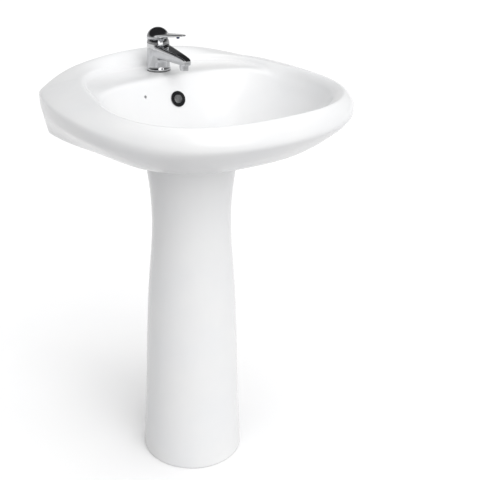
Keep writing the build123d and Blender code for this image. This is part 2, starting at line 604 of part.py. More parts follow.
def main():
    write("basin", basin())
    write("pedestal", pedestal())
    write("pedestal_pad", pedestal_pads())
    write("tap_body", tap_body())
    write_all(("aerator_housing", "aerator_insert", "aerator_washer"), aerator())
    body, fixed, seals, moving, carrier, turret, pin, stem, nut = cartridge()
    write("cartridge_seals", *seals)
    write_all(("cartridge_body", "fixed_disc", "moving_disc", "disc_carrier", "turret", "lever_pin",
               "lever_stem", "cartridge_nut"), (body, fixed, moving, carrier, turret, pin, stem, nut))
    write("bonnet_cap", bonnet_cap())
    write_all(("lever_handle", "lever_grub_screw", "lever_index_button"), lever_handle())
    write_all(("tap_gasket", "clamp_rubber", "clamp_plate", "tap_stud", "tap_stud_nut"), tap_fixing())
    for name, side in (("hot", -1), ("cold", 1)):
        write(f"{name}_tail", tail(side))
        write_all((f"{name}_valve_body", f"{name}_valve_ball", f"{name}_valve_handle"), valve(side))
    nuts, olives = valve_fittings()
    write("valve_nuts", *nuts)
    write("valve_olives", *olives)
    write_all(("waste_top_seal", "waste_body", "waste_bottom_seal", "waste_backnut"), waste())
    write_all(("plug_seal", "plug_cap", "plug_mechanism", "plug_stem", "plug_spring"), plug())
    write("overflow_ring", overflow_ring())
    write_all(("trap_inlet_nut", "trap_inlet_washer", "trap_inlet_tube", "trap_body", "trap_cup",
               "trap_cup_seal", "trap_outlet_pipe", "trap_outlet_washer", "trap_outlet_nut"), trap())


main()
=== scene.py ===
import json
from math import acos, asin, cos, pi, radians, sin, sqrt, tan

import bmesh
import bpy
from mathutils import Matrix, Vector


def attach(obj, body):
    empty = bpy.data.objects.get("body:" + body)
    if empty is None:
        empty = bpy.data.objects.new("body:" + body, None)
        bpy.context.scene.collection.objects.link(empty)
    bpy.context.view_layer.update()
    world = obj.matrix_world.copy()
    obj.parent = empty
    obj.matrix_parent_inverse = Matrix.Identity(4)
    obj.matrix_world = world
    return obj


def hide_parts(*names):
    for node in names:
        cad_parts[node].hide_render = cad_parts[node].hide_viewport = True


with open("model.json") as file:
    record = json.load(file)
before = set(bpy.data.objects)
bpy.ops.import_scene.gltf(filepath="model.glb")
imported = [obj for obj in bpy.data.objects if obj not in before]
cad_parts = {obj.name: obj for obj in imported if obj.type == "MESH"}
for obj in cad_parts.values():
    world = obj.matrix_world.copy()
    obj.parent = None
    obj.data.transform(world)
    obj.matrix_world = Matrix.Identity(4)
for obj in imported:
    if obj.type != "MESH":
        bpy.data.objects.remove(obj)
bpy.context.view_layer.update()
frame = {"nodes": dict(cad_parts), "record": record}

# Looks of a pedestal washbasin with a single-lever mixer.  Shapes are worked out in millimetres
# and written in metres.  x = 0 is the middle, -Y the front, z = 0 the floor, the wall is at
# y = +HALF_DEPTH.

MM = 0.001

# ---- Shape of the ceramic ----
# Angles are taken about (0, PLAN_CY), from the front.  The two series of waves are the radii of
# the outer edge and of the crest, as cosines of the angle's multiples.
HALF_DEPTH = 247.0
PLAN_CY = 30.0
RIM_WAVES = (296.0, -20.0, 13.0, -5.5, -6.5)
CREST_WAVES = (232.0, 35.5, 1.0, -2.5, -13.0)
CORNER = radians(126)
BACK_FLAT = 150.0
FRONT_EDGE_Z = 808.0
CORNER_RISE = 16.0
BACK_ARCH = 45.0
CREST_FRONT_Z = 840.0
CREST_RISE = 0.021
DECK_Z = 838.0
LIP_Z = 837.0
DECK_START = radians(80)
DECK_SPAN = radians(34)
CEILING_Z = 808.0
CEILING_FRONT_Z = 745.0
CEILING_START = radians(50)
CEILING_SPAN = radians(50)
SKIRT_TOP_Z = 800.0
SKIRT_BOTTOM_Z = 740.0
SKIRT_INSET = 75.0
SKIRT_START = radians(70)
CORNER_INSET = 11.0
WALL = 12.0
RIM_BULGE = 4.5
WASTE_Y = 20.0
TAP_HOLE_R = 17.5
STAY_HOLE_X = -71.0
STAY_HOLE_Z = 809.0
STAY_HOLE_R = 3.0
WALL_BOLT_X = 130.0
WALL_BOLT_Z = 775.0
WALL_BOLT_R = 7.0
PASSAGE_R = 13.0
OVERFLOW_Y = 104.0
OVERFLOW_Z = 795.0
OVERFLOW_TILT = radians(25)
FRONT_POWER = 2.2
BACK_POWER = 2.5
BOWL_BOTTOM_Z = 712.0
BOWL_TOP_Z = 828.0
CENTRE_SHIFT_HEIGHT = 120.0
# (height, half-width, front y, back y, y of the widest place)
BOWL_LEVELS = (
    (BOWL_BOTTOM_Z, 38, -18, 56, 19),
    (714.5, 62, -36, 57, 10),
    (722, 92, -76, 62, -2),
    (735, 122, -116, 72, -18),
    (765, 166, -163, 90, -32),
    (800, 199, -197, 106, -40),
    (BOWL_TOP_Z, 216, -213, 119, -42),
    (842, 222, -219, 127, -42),
)

PEDESTAL_Y = 55.0
PEDESTAL_TOP_Z = 697.0
PEDESTAL_WALL = 11.0
# (height, radius)
PEDESTAL_OUTLINE = ((0, 112), (20, 111), (140, 104), (275, 99), (410, 92), (475, 86),
                    (540, 81.5), (600, 82), (650, 86.5), (PEDESTAL_TOP_Z, 93))
SLOT_HALF = 52.0
COLUMN_EDGE = 1.6
SEAT_RIB_R = 90.0
SEAT_RIB_BACK_Y = 95.0
SEAT_RIB_LEVELS = (699.9, 702, 720, 737)

# ---- Shape of the tap ----
TAP_Y = 177.0
NOZZLE_Y = 78.8
NOZZLE_BORE_R = 7.0
PIVOT_Z = 888.0
CAP_INNER_R = 23.6
CAP_EDGE_Z = 900.5
CAP_EDGE_TILT = tan(radians(9))
SEGMENTS = 16     # vertices round the turned parts of the tap's cages
ARM_HALF = 2      # half-width of the spout's and the blade's root, in those vertices


# ---- Mesh helpers ----
def link(name, mesh):
    obj = bpy.data.objects.new(name, mesh)
    bpy.context.scene.collection.objects.link(obj)
    return obj


def make(name, vertices, faces):
    """Object from vertices in millimetres, with its faces turned outwards."""
    mesh = bpy.data.meshes.new(name)
    mesh.from_pydata([[c * MM for c in v] for v in vertices], [], faces)
    bm = bmesh.new()
    bm.from_mesh(mesh)
    bmesh.ops.recalc_face_normals(bm, faces=bm.faces)
    bm.to_mesh(mesh)
    bm.free()
    return link(name, mesh)


def apply_modifiers(obj):
    depsgraph = bpy.context.evaluated_depsgraph_get()
    mesh = bpy.data.meshes.new_from_object(obj.evaluated_get(depsgraph))
    obj.modifiers.clear()
    obj.data = mesh


def subdivide(obj, levels=2):
    modifier = obj.modifiers.new("subdivision", "SUBSURF")
    modifier.levels = levels
    modifier.render_levels = levels
    apply_modifiers(obj)


def combine(obj, tool, operation):
    """Boolean of obj with tool, which is used up."""
    modifier = obj.modifiers.new("boolean", "BOOLEAN")
    modifier.operation = operation
    modifier.solver = "EXACT"
    modifier.object = tool
    apply_modifiers(obj)
    bpy.data.objects.remove(tool)


def shade(obj, angle=35):
    for polygon in obj.data.polygons:
        polygon.use_smooth = True
    obj.data.set_sharp_from_angle(angle=radians(angle))


def join(obj, *others):
    """Adds other objects' meshes to obj's own."""
    bm = bmesh.new()
    bm.from_mesh(obj.data)
    for other in others:
        bm.from_mesh(other.data)
        bpy.data.objects.remove(other)
    bm.to_mesh(obj.data)
    bm.free()


def loft(rows, closed_rows=True):
    """Vertices and quads through closed rings of equal length."""
    count = len(rows[0])
    faces = []
    for j in range(len(rows) if closed_rows else len(rows) - 1):
        a, b = j * count, (j + 1) % len(rows) * count
        for i in range(count):
            k = (i + 1) % count
            faces.append((a + i, a + k, b + k, b + i))
    return [v for row in rows for v in row], faces


def capped_solid(name, rows):
    """Closed solid through rings of equal length, with a flat face at each end."""
    vertices, faces = loft(rows, closed_rows=False)
    count = len(rows[0])
    last = len(vertices) - count
    faces.append(tuple(range(count)))
    faces.append(tuple(range(last, last + count)))
    return make(name, vertices, faces)


def lathe(name, profile, steps=48, y=0.0):
    """Closed solid of revolution about the upright axis at (0, y), from (radius, z)."""
    rows = []
    for r, z in profile:
        rows.append([(r * sin(2 * pi * i / steps), y - r * cos(2 * pi * i / steps), z)
                     for i in range(steps)])
    return capped_solid(name, rows)


def smooth(t):
    """Smooth step from 0 to 1."""
    t = min(max(t, 0.0), 1.0)
    return t * t * (3 - 2 * t)


def mix(a, b, t):
    return tuple(p + (q - p) * t for p, q in zip(a, b))


# ---- Basin ----
def waves(coefficients, angle):
    return sum(a * cos(k * angle) for k, a in enumerate(coefficients))


def ring_angles():
    """Angles from the front, closer together at the back corners."""
    half = [radians(a) for a in list(range(0, 115, 6)) + [118, 121.5, 124, 126, 128, 131, 135]
            + list(range(140, 181, 5))]
    return half + [-a for a in reversed(half[1:-1])]


def mirrored(angle, x, y, z):
    return (-x if angle < 0 else x, y, z)


def outline(angle, inset=0.0, back_inset=0.0):
    """Plan point of the basin's outer edge, moved inwards."""
    a = abs(angle)
    if a <= CORNER:
        r = waves(RIM_WAVES, a) - inset
        return r * sin(a), PLAN_CY - r * cos(a)
    r = waves(RIM_WAVES, CORNER)
    corner_x, corner_y = r * sin(CORNER), PLAN_CY - r * cos(CORNER)
    t = (a - CORNER) / (pi - CORNER)
    x = corner_x * (1 - t)
    swept = max(0.0, (x - BACK_FLAT) / (corner_x - BACK_FLAT))
    y = HALF_DEPTH - (HALF_DEPTH - corner_y) * swept ** 1.6
    ease = smooth(t / 0.35)
    x -= inset * sin(CORNER) * (1 - ease)
    y += inset * cos(CORNER) * (1 - ease) - back_inset * ease
    return x, y


def edge_z(angle):
    """Height of the top outer edge: it dips at the front and arches up along the wall."""
    a = abs(angle)
    if a <= CORNER:
        t = a / CORNER
        return FRONT_EDGE_Z + CORNER_RISE * (2.5 * t ** 2 - 1.5 * t ** 4)
    t = (a - CORNER) / (pi - CORNER)
    return FRONT_EDGE_Z + CORNER_RISE + BACK_ARCH * (1 - (1 - t) ** 2)


def skirt_inset(angle, share):
    """Inset of the skirt: share 0 at its top, 1 at its bottom edge."""
    t = min(max((abs(angle) - SKIRT_START) / (CORNER - SKIRT_START), 0), 1)
    side = SKIRT_INSET * (0.68 * share + 0.32 * share ** 2)
    corner = CORNER_INSET * share
    return corner + (side - corner) * (1 - t ** 2)


def skirt(angle, z, thickness=0.0):
    share = (SKIRT_TOP_Z - z) / (SKIRT_TOP_Z - SKIRT_BOTTOM_Z)
    inset = skirt_inset(angle, min(max(share, 0), 1))
    x, y = outline(angle, inset + 1.4 * thickness, thickness)
    return mirrored(angle, x, y, z)


def crest(angle, inset=0.0, drop=0.0):
    """Point of the inner crest, which rises evenly towards the wall."""
    a = abs(angle)
    r = waves(CREST_WAVES, a) - inset
    x, y = r * sin(a), PLAN_CY - r * cos(a)
    return mirrored(angle, x, y, CREST_FRONT_Z + CREST_RISE * (y + HALF_DEPTH) - drop)


def rim(angle, t):
    """Point on the convex band, from the outer edge at t = 0 to the crest at t = 1."""
    x, y = outline(angle)
    outer = Vector(mirrored(angle, x, y, edge_z(angle)))
    inner = Vector(crest(angle))
    across = inner - outer
    flat = Vector((across.x, across.y, 0))
    normal = Vector((0, 0, flat.length)) - flat.normalized() * across.z
    bulge = RIM_BULGE * 4 * t * (1 - t)
    return tuple(outer + across * t + normal.normalized() * bulge)


def bowl_level(z):
    """Bowl outline at a height, between the given levels."""
    for low, high in zip(BOWL_LEVELS, BOWL_LEVELS[1:]):
        if z <= high[0]:
            break
    t = (z - low[0]) / (high[0] - low[0])
    return mix(low[1:], high[1:], t)


def bowl(angle, z, grow=0.0, lift=0.0):
    """Point of the bowl's wall in a direction from the bowl's centre."""
    half, front, back, middle = bowl_level(z)
    half, front, back = half + grow, front - grow, back + grow
    rise = min(max((z - BOWL_BOTTOM_Z) / CENTRE_SHIFT_HEIGHT, 0), 1)
    centre = WASTE_Y + (PLAN_CY - WASTE_Y) * rise
    dx, dy = abs(sin(angle)), -cos(angle)
    # The wall's distance from the centre, found by halving.
    near, far = 0.0, 400.0
    for _ in range(40):
        r = (near + far) / 2
        x, y = r * dx, centre + r * dy
        if y < middle:
            size = (x / half) ** FRONT_POWER + ((middle - y) / (middle - front)) ** FRONT_POWER
        else:
            size = (x / half) ** BACK_POWER + ((y - middle) / (back - middle)) ** BACK_POWER
        if size < 1:
            near = r
        else:
            far = r
    return mirrored(angle, x, y, z + lift)


def circle(angle, r, z):
    return (r * sin(angle), WASTE_Y - r * cos(angle), z)


def outward(point, distance, z):
    """Point moved away from the plan's centre, at a new height."""
    flat = Vector((point[0], point[1] - PLAN_CY, 0))
    moved = flat + flat.normalized() * distance
    return (moved.x, moved.y + PLAN_CY, z)


def ceiling_share(angle):
    """0 at the front, 1 where the hollow under the deck has its full height."""
    return smooth((abs(angle) - CEILING_START) / CEILING_SPAN)


def deck_share(angle):
    """0 where the crest falls straight into the bowl, 1 where the tap deck lies between."""
    return smooth((abs(angle) - DECK_START) / DECK_SPAN)


def underside_rings(angles):
    """Outside of the bowl's floor and wall, WALL below and beyond the bowl's own surface."""
    rings = []
    for front_z, back_z in ((702.5, 702.5), (710, 710), (723, 723), (734, 753), (739, 788),
                            (742, 802)):
        ring = []
        for a in angles:
            z = front_z + (back_z - front_z) * ceiling_share(a)
            ring.append(bowl(a, z + WALL, WALL, -WALL))
        rings.append(ring)
    return rings


def channel_rings(angles):
    """Hollow between the bowl and the skirt: shallow at the front, up to the deck behind."""
    rings = [[], [], [], [], []]
    for a in angles:
        t = ceiling_share(a)
        top = CEILING_FRONT_Z + (CEILING_Z - CEILING_FRONT_Z) * t
        wall = bowl(a, min(top + WALL - 4, BOWL_TOP_Z), WALL, 0)
        rings[0].append(outward(wall, 3, top))
        rings[1].append(outward(skirt(a, top, WALL + 2), -2 - 4 * t, top))
        for ring, share in zip(rings[2:], (0.9, 0.5, 0.12)):
            z = SKIRT_BOTTOM_Z + (top - SKIRT_BOTTOM_Z) * share
            ring.append(skirt(a, z, WALL))
    return rings


def skirt_rings(angles):
    """From the rounded bottom edge of the skirt up to just under the rim."""
    rings = [[skirt(a, SKIRT_BOTTOM_Z, WALL - 2) for a in angles],
             [skirt(a, SKIRT_BOTTOM_Z, 2.5) for a in angles]]
    for z in (742.5, 755, 770, 785, 796):
        rings.append([skirt(a, z) for a in angles])
    rings.append([skirt(a, edge_z(a) - 7) for a in angles])
    return rings


def rim_rings(angles):
    """Convex band from the outer edge to the crest, and the crest's rounded inner side."""
    rings = [[rim(a, t) for a in angles] for t in (0.0, 0.12, 0.35, 0.62, 0.86, 0.97)]
    rings.append([crest(a, 3.2, 1.6) for a in angles])
    return rings


def deck_rings(angles):
    """From the crest inwards: a tap deck at the back, the bowl's wall at the front."""
    rings = []
    steps = ((834, 7.5, 0), (827, 11, 0.03), (820, 11, 0.45), (813, 11, 0.88))
    for k, (front_z, inset, share) in enumerate(steps):
        ring = []
        for a in angles:
            edge = Vector(crest(a, inset))
            lip = Vector(bowl(a, LIP_Z))
            deck = edge + (lip - edge) * share
            deck.z = DECK_Z + (1.2 if k == 0 else 0)
            ring.append(mix(bowl(a, front_z), tuple(deck), deck_share(a)))
        rings.append(ring)
    for front_z, back_z in ((806, 834.5), (797, 825), (784, 808), (765, 780), (748, 755)):
        ring = []
        for a in angles:
            ring.append(bowl(a, front_z + (back_z - front_z) * deck_share(a)))
        rings.append(ring)
    return rings


def waste_rings(angles):
    """Bowl's floor, the waste's seat and hole, and the hole's lower edge."""
    rings = [[bowl(a, z) for a in angles] for z in (735, 722, 715)]
    seat = ((37, 711.8), (33.6, 711.2), (33, 709.5), (32, 708), (24, 708), (22.5, 706.5),
            (22.5, 674), (24, 672), (36, 672), (38, 674), (38, 696), (41, 700))
    return rings + [[circle(a, r, z) for a in angles] for r, z in seat]


def tilted_bar(name, profile):
    """Turned form on the overflow's axis; +Z of the profile points back into the ceramic."""
    obj = lathe(name, profile)
    turn = Matrix.Rotation(-pi / 2 - OVERFLOW_TILT, 4, "X")
    shift = Matrix.Translation((0, OVERFLOW_Y * MM, OVERFLOW_Z * MM))
    obj.data.transform(shift @ turn)
    return obj


def bar_y(name, x, z, y0, y1, r):
    """Round bar along Y."""
    obj = lathe(name, [(r, -y1), (r, -y0)], 32)
    turn = Matrix.Rotation(pi / 2, 4, "X")
    shift = Matrix.Translation((x * MM, 0, z * MM))
    obj.data.transform(shift @ turn)
    return obj


def tube(name, points, radius, steps=24):
    """Solid round bar through points in the plane x = 0, with turned joints."""
    rows = []
    for k, point in enumerate(points):
        before, after = points[max(k - 1, 0)], points[min(k + 1, len(points) - 1)]
        along = (Vector(after) - Vector(before)).normalized()
        side = Vector((1, 0, 0))
        up = along.cross(side)
        rows.append([tuple(Vector(point) + side * radius * cos(2 * pi * i / steps)
                           + up * radius * sin(2 * pi * i / steps)) for i in range(steps)])
    return capped_solid(name, rows)


def seat_rib(angles):
    """Curved rib under the bowl that rests on the pedestal, cut off inside the bowl's wall."""
    inside_wall = 5
    rib = column("seat_rib", [(z, SEAT_RIB_R) for z in SEAT_RIB_LEVELS], WALL, rib_angle)
    rows = [[bowl(a, max(z, BOWL_BOTTOM_Z), inside_wall)[:2] + (z,) for a in angles]
            for z in (706, 712, 715, 722, 735, 750)]
    combine(rib, capped_solid("bowl_space", rows), "DIFFERENCE")
    return rib


def make_basin():
    """Closed ceramic shell with its overflow passage, holes and seat rib."""
    angles = ring_angles()
    rows = (underside_rings(angles) + channel_rings(angles) + skirt_rings(angles)
            + rim_rings(angles) + deck_rings(angles) + waste_rings(angles))
    basin = make("ceramic_basin", *loft(rows))
    subdivide(basin)
    combine(basin, tilted_bar("boss", [(16, 5), (16, 28), (13, 31)]), "UNION")
    passage = tube("passage", [(0, 127, 800), (0, 128, 770), (0, 124, 745), (0, 100, 726),
                               (0, 48, 697)], PASSAGE_R)
    combine(basin, passage, "UNION")
    cuts = [tilted_bar("overflow_cut", [(16, -10), (16, 0), (11, 0), (11, 25)]),
            lathe("tap_cut", [(TAP_HOLE_R, CEILING_Z - 20), (TAP_HOLE_R, DECK_Z + 20)], 64, TAP_Y),
            bar_y("stay_cut", STAY_HOLE_X, STAY_HOLE_Z, 100, 122, STAY_HOLE_R)]
    for side in (-1, 1):
        cuts.append(bar_y("bolt_cut", side * WALL_BOLT_X, WALL_BOLT_Z,
                          HALF_DEPTH - 30, HALF_DEPTH + 8, WALL_BOLT_R))
    for tool in cuts:
        combine(basin, tool, "DIFFERENCE")
    join(basin, seat_rib(angles))
    shade(basin)
    return basin


# ---- Pedestal ----
def pedestal_radius(z):
    """Radius of the pedestal at a height, on a smooth curve through its outline."""
    points = PEDESTAL_OUTLINE
    for k in range(len(points) - 1):
        if z <= points[k + 1][0]:
            break
    before = points[max(k - 1, 0)]
    z0, r0 = points[k]
    z1, r1 = points[k + 1]
    after = points[min(k + 2, len(points) - 1)]
    slope0 = (r1 - before[1]) / (z1 - before[0])
    slope1 = (after[1] - r0) / (after[0] - z0)
    span = z1 - z0
    t = (z - z0) / span
    return ((2 * t ** 3 - 3 * t ** 2 + 1) * r0 + (t ** 3 - 2 * t ** 2 + t) * span * slope0
            + (3 * t ** 2 - 2 * t ** 3) * r1 + (t ** 3 - t ** 2) * span * slope1)


def slot_angle(radius):
    """Angle from the front at which a circle of this radius meets the pedestal's slot."""
    return pi - asin(SLOT_HALF / radius)


def rib_angle(radius):
    """Angle from the front at which a circle of this radius meets the seat rib's back end."""
    return acos(-(SEAT_RIB_BACK_Y - PEDESTAL_Y) / radius)


def c_section(r, wall, z, end_angle, shrink, steps):
    """Closed C-shaped ring of points, open at the back; end_angle says where, by radius."""
    outer_r, inner_r = r - shrink, r - wall + shrink
    outer_end = end_angle(r) - shrink / r
    inner_end = end_angle(r - wall) - shrink / r
    ring = []
    for i in range(steps + 1):
        a = outer_end * (2 * i / steps - 1)
        ring.append((outer_r * sin(a), PEDESTAL_Y - outer_r * cos(a), z))
    for i in range(steps + 1):
        a = inner_end * (1 - 2 * i / steps)
        ring.append((inner_r * sin(a), PEDESTAL_Y - inner_r * cos(a), z))
    return ring


def column(name, levels, wall, end_angle, steps=36):
    """C-shaped column through (z, radius) levels, with rounded edges."""
    rows = []
    for k, (z, r) in enumerate(levels):
        shrink = COLUMN_EDGE if k in (0, len(levels) - 1) else 0.0
        rows.append(c_section(r, wall, z, end_angle, shrink, steps))
    vertices, faces = loft(rows, closed_rows=False)
    count = len(rows[0])
    for base in (0, (len(rows) - 1) * count):
        for i in range(steps):
            j = count - 1 - i
            faces.append((base + i, base + i + 1, base + j - 1, base + j))
    obj = make(name, vertices, faces)
    subdivide(obj)
    return obj


def make_pedestal():
    """Round column, open at the back, with two lugs inside its foot."""
    heights = ([0, COLUMN_EDGE, 8, 20] + list(range(50, 680, 30))
               + [685, PEDESTAL_TOP_Z - COLUMN_EDGE, PEDESTAL_TOP_Z])
    pedestal = column("ceramic_pedestal", [(z, pedestal_radius(z)) for z in heights],
                      PEDESTAL_WALL, slot_angle)
    for side in (-1, 1):
        join(pedestal, foot_lug(side))
    shade(pedestal)
    return pedestal


def foot_lug(side):
    """Rounded block inside the foot, with the floor bolt's hole."""
    x0, x1 = 50, 82
    y0, y1 = 95, 122
    top = 14
    hole_x, hole_y, hole_r = 66, 113, 4
    vertices = [(side * x, y, z) for z in (0, top) for x, y in
                ((x0, y0), (x1, y0), (x1, y1), (x0, y1))]
    faces = [(0, 1, 2, 3), (4, 5, 6, 7), (0, 1, 5, 4), (1, 2, 6, 5), (2, 3, 7, 6), (3, 0, 4, 7)]
    lug = make("lug", vertices, faces)
    bevel = lug.modifiers.new("bevel", "BEVEL")
    bevel.width = 2.5 * MM
    bevel.segments = 3
    apply_modifiers(lug)
    hole = lathe("lug_hole", [(hole_r, -5), (hole_r, 20)], 24)
    hole.data.transform(Matrix.Translation((side * hole_x * MM, hole_y * MM, 0)))
    combine(lug, hole, "DIFFERENCE")
    return lug


# ---- Tap ----
def cage_ring(r, z, tilt=0.0):
    """Ring of a cage whose subdivided form has radius r; tilt raises it towards the front."""
    grown = r * 3 / (2 + cos(2 * pi / SEGMENTS))
    ring = []
    for i in range(SEGMENTS):
        a = 2 * pi * i / SEGMENTS
        x, y = grown * sin(a), -grown * cos(a)
        ring.append((x, TAP_Y + y, z - y * tilt))
    return ring


def trunk_faces(ring_count, low, high):
    """Quads of a turned cage, left open in front between rings low and high."""
    faces = []
    for j in range(ring_count - 1):
        for i in range(SEGMENTS):
            offset = i if i < SEGMENTS // 2 else i - SEGMENTS
            if low <= j < high and -ARM_HALF <= offset < ARM_HALF:
                continue
            k = (i + 1) % SEGMENTS
            faces.append((j * SEGMENTS + i, j * SEGMENTS + k,
                          (j + 1) * SEGMENTS + k, (j + 1) * SEGMENTS + i))
    return faces


def section_point(section, column_index, row_share):
    """Point of a cross-section (y, half-width, z beside its first row, z beside its last)."""
    y, half, z0, z1 = section
    return (half * column_index / ARM_HALF, y, z0 + (z1 - z0) * row_share)


def armed_cage(rings, low, high, sections):
    """Cage of a turned form with an arm drawn out of its front.

    The arm's root lies between rings low and high, and sections are its cross-sections from
    there to the tip, each (y, half-width, z on ring low's side, z on ring high's side)."""
    vertices = [v for ring in rings for v in ring]
    faces = trunk_faces(len(rings), low, high)
    grid = [[j * SEGMENTS + i % SEGMENTS for i in range(-ARM_HALF, ARM_HALF + 1)]
            for j in range(low, high + 1)]
    for section in sections:
        outline_grid = []
        for j in range(high - low + 1):
            outline_grid.append([])
            for i in range(-ARM_HALF, ARM_HALF + 1):
                edge = j in (0, high - low) or abs(i) == ARM_HALF
                outline_grid[-1].append(len(vertices) if edge else None)
                if edge:
                    vertices.append(section_point(section, i, j / (high - low)))
        for a, b in zip(perimeter(grid), perimeter(outline_grid)):
            faces.append((a[0], a[1], b[1], b[0]))
        grid = outline_grid
    # The tip's face also has vertices inside its edge.
    for j, row in enumerate(grid):
        for i, index in enumerate(row):
            if index is None:
                row[i] = len(vertices)
                vertices.append(section_point(sections[-1], i - ARM_HALF, j / (high - low)))
    for row, upper in zip(grid, grid[1:]):
        for i in range(2 * ARM_HALF):
            faces.append((row[i], row[i + 1], upper[i + 1], upper[i]))
    return vertices, faces


def perimeter(grid):
    """Edges round a grid of vertex indices."""
    loop = (list(grid[0]) + [row[-1] for row in grid[1:-1]] + list(reversed(grid[-1]))
            + [row[0] for row in reversed(grid[1:-1])])
    return list(zip(loop, loop[1:] + loop[:1]))


def close_ring(vertices, faces, ring_index, z):
    """Closes an end ring of a cage with a fan of quads round a middle vertex."""
    base = ring_index * SEGMENTS
    vertices.append((0, TAP_Y, z))
    middle = len(vertices) - 1
    for i in range(0, SEGMENTS, 2):
        faces.append((base + i, base + i + 1, base + (i + 2) % SEGMENTS, middle))


def make_tap_body():
    """Casting: the cartridge's hollow, top edge, straight body and foot, with the spout."""
    profile = ((12.6, 862.5), (12.6, 864), (12.6, 883.5), (13.5, 884), (17.6, 884.3), (18, 885.5),
               (18, 892.2), (18.4, 892.9), (22, 893), (22.6, 892.2), (22.6, 889.5), (22.6, 877),
               (22.6, 864.5), (22.6, 851), (22.7, 847), (23.6, 844.2), (24.4, 842.6),
               (24.5, 841.4), (24.5, 840.1), (24, 839.6), (18, 839.6))
    rings = [cage_ring(r, z) for r, z in profile]
    sections = ((TAP_Y - 29, 16.2, 889.2, 864.4), (TAP_Y - 45, 14.4, 887.4, 865.6),
                (TAP_Y - 66, 12.3, 885.2, 866.4), (TAP_Y - 86, 10.4, 883, 866.2),
                (TAP_Y - 101, 9, 880.8, 865.8), (TAP_Y - 108.5, 8, 878.8, 866),
                (TAP_Y - 111, 6.8, 876.4, 867.4))
    vertices, faces = armed_cage(rings, 10, 12, sections)
    close_ring(vertices, faces, 0, 862.5)
    close_ring(vertices, faces, len(rings) - 1, 839.6)
    body = make("tap_casting", vertices, faces)
    subdivide(body, 3)
    nozzle = lathe("nozzle", [(7.4, 860), (8.7, 860), (9, 860.4), (9, 872), (7.6, 874),
                              (3, 875)], 96, NOZZLE_Y)
    combine(body, nozzle, "UNION")
    bore = lathe("bore", [(NOZZLE_BORE_R, 850), (NOZZLE_BORE_R, 870)], 96, NOZZLE_Y)
    combine(body, bore, "DIFFERENCE")
    shade(body, 32)
    return body


def hollow_ring(height, out=0.0):
    """Ring on the cap's round hollow, at a height above the tilted plane of the cap's edge."""
    ring = []
    for i in range(SEGMENTS):
        a = 2 * pi * i / SEGMENTS
        # The radius and the height depend on each other, so they are refined in turn.
        r = 20.0
        for _ in range(6):
            z = CAP_EDGE_Z + r * cos(a) * CAP_EDGE_TILT + height
            r = sqrt(CAP_INNER_R ** 2 - (z - PIVOT_Z) ** 2)
        r += out
        ring.append((r * sin(a), TAP_Y - r * cos(a), z))
    return ring


def make_handle():
    """Domed cap, hollow below, with its tilted edge and the blade in front."""
    rings = [cage_ring(3.6, 911.4), cage_ring(10, 909.6), cage_ring(14.4, 906.9),
             hollow_ring(0.8), hollow_ring(0.1, 0.2),
             cage_ring(22, CAP_EDGE_Z, CAP_EDGE_TILT),
             cage_ring(22.5, CAP_EDGE_Z + 0.6, CAP_EDGE_TILT), cage_ring(22.7, 903.8, 0.06),
             cage_ring(22, 907), cage_ring(19.3, 912.2), cage_ring(15, 916.8),
             cage_ring(9, 920.3), cage_ring(4, 921.5)]
    sections = ((TAP_Y - 29, 13.4, 907.4, 913.8), (TAP_Y - 42, 12.6, 909.6, 915.5),
                (TAP_Y - 60, 11.4, 912.6, 918), (TAP_Y - 80, 9.8, 916.1, 920.6),
                (TAP_Y - 91, 8, 918.2, 921.9), (TAP_Y - 96.5, 5.4, 919.3, 922.2),
                (TAP_Y - 98, 3, 919.9, 922.1))
    vertices, faces = armed_cage(rings, 8, 9, sections)
    close_ring(vertices, faces, 0, 911.6)
    close_ring(vertices, faces, len(rings) - 1, 921.6)
    handle = make("lever_cap", vertices, faces)
    subdivide(handle, 3)
    shade(handle, 60)
    return handle


# ---- Materials ----
def material(name, colour, roughness, metallic=0.0):
    mat = bpy.data.materials.new(name)
    mat.use_nodes = True
    shader = mat.node_tree.nodes["Principled BSDF"]
    shader.inputs["Base Color"].default_value = (*colour, 1)
    shader.inputs["Roughness"].default_value = roughness
    shader.inputs["Metallic"].default_value = metallic
    return mat, shader


def noise(mat, scale, detail=4.0, stretch=(1, 1, 1), rough=0.5):
    """Noise over the object's own coordinates; scale is in cells per metre."""
    tree = mat.node_tree
    coordinates = tree.nodes.new("ShaderNodeTexCoord")
    mapping = tree.nodes.new("ShaderNodeMapping")
    mapping.inputs["Scale"].default_value = stretch
    texture = tree.nodes.new("ShaderNodeTexNoise")
    texture.inputs["Scale"].default_value = scale
    texture.inputs["Detail"].default_value = detail
    texture.inputs["Roughness"].default_value = rough
    tree.links.new(coordinates.outputs["Object"], mapping.inputs["Vector"])
    tree.links.new(mapping.outputs["Vector"], texture.inputs["Vector"])
    return texture.outputs["Fac"]


def ramp(mat, factor, low, high, start=0.3, end=0.7):
    """Colour or grey ramp between two values."""
    node = mat.node_tree.nodes.new("ShaderNodeValToRGB")
    for element, position, value in zip(node.color_ramp.elements, (start, end), (low, high)):
        element.position = position
        element.color = (*value, 1) if hasattr(value, "__len__") else (value, value, value, 1)
    mat.node_tree.links.new(factor, node.inputs["Fac"])
    return node.outputs["Color"]


def bump(mat, shader, height, strength, distance, previous=None):
    """Relief on the shader, on top of a previous relief if there is one."""
    node = mat.node_tree.nodes.new("ShaderNodeBump")
    node.inputs["Strength"].default_value = strength
    node.inputs["Distance"].default_value = distance
    mat.node_tree.links.new(height, node.inputs["Height"])
    if previous:
        mat.node_tree.links.new(previous, node.inputs["Normal"])
    mat.node_tree.links.new(node.outputs["Normal"], shader.inputs["Normal"])
    return node.outputs["Normal"]


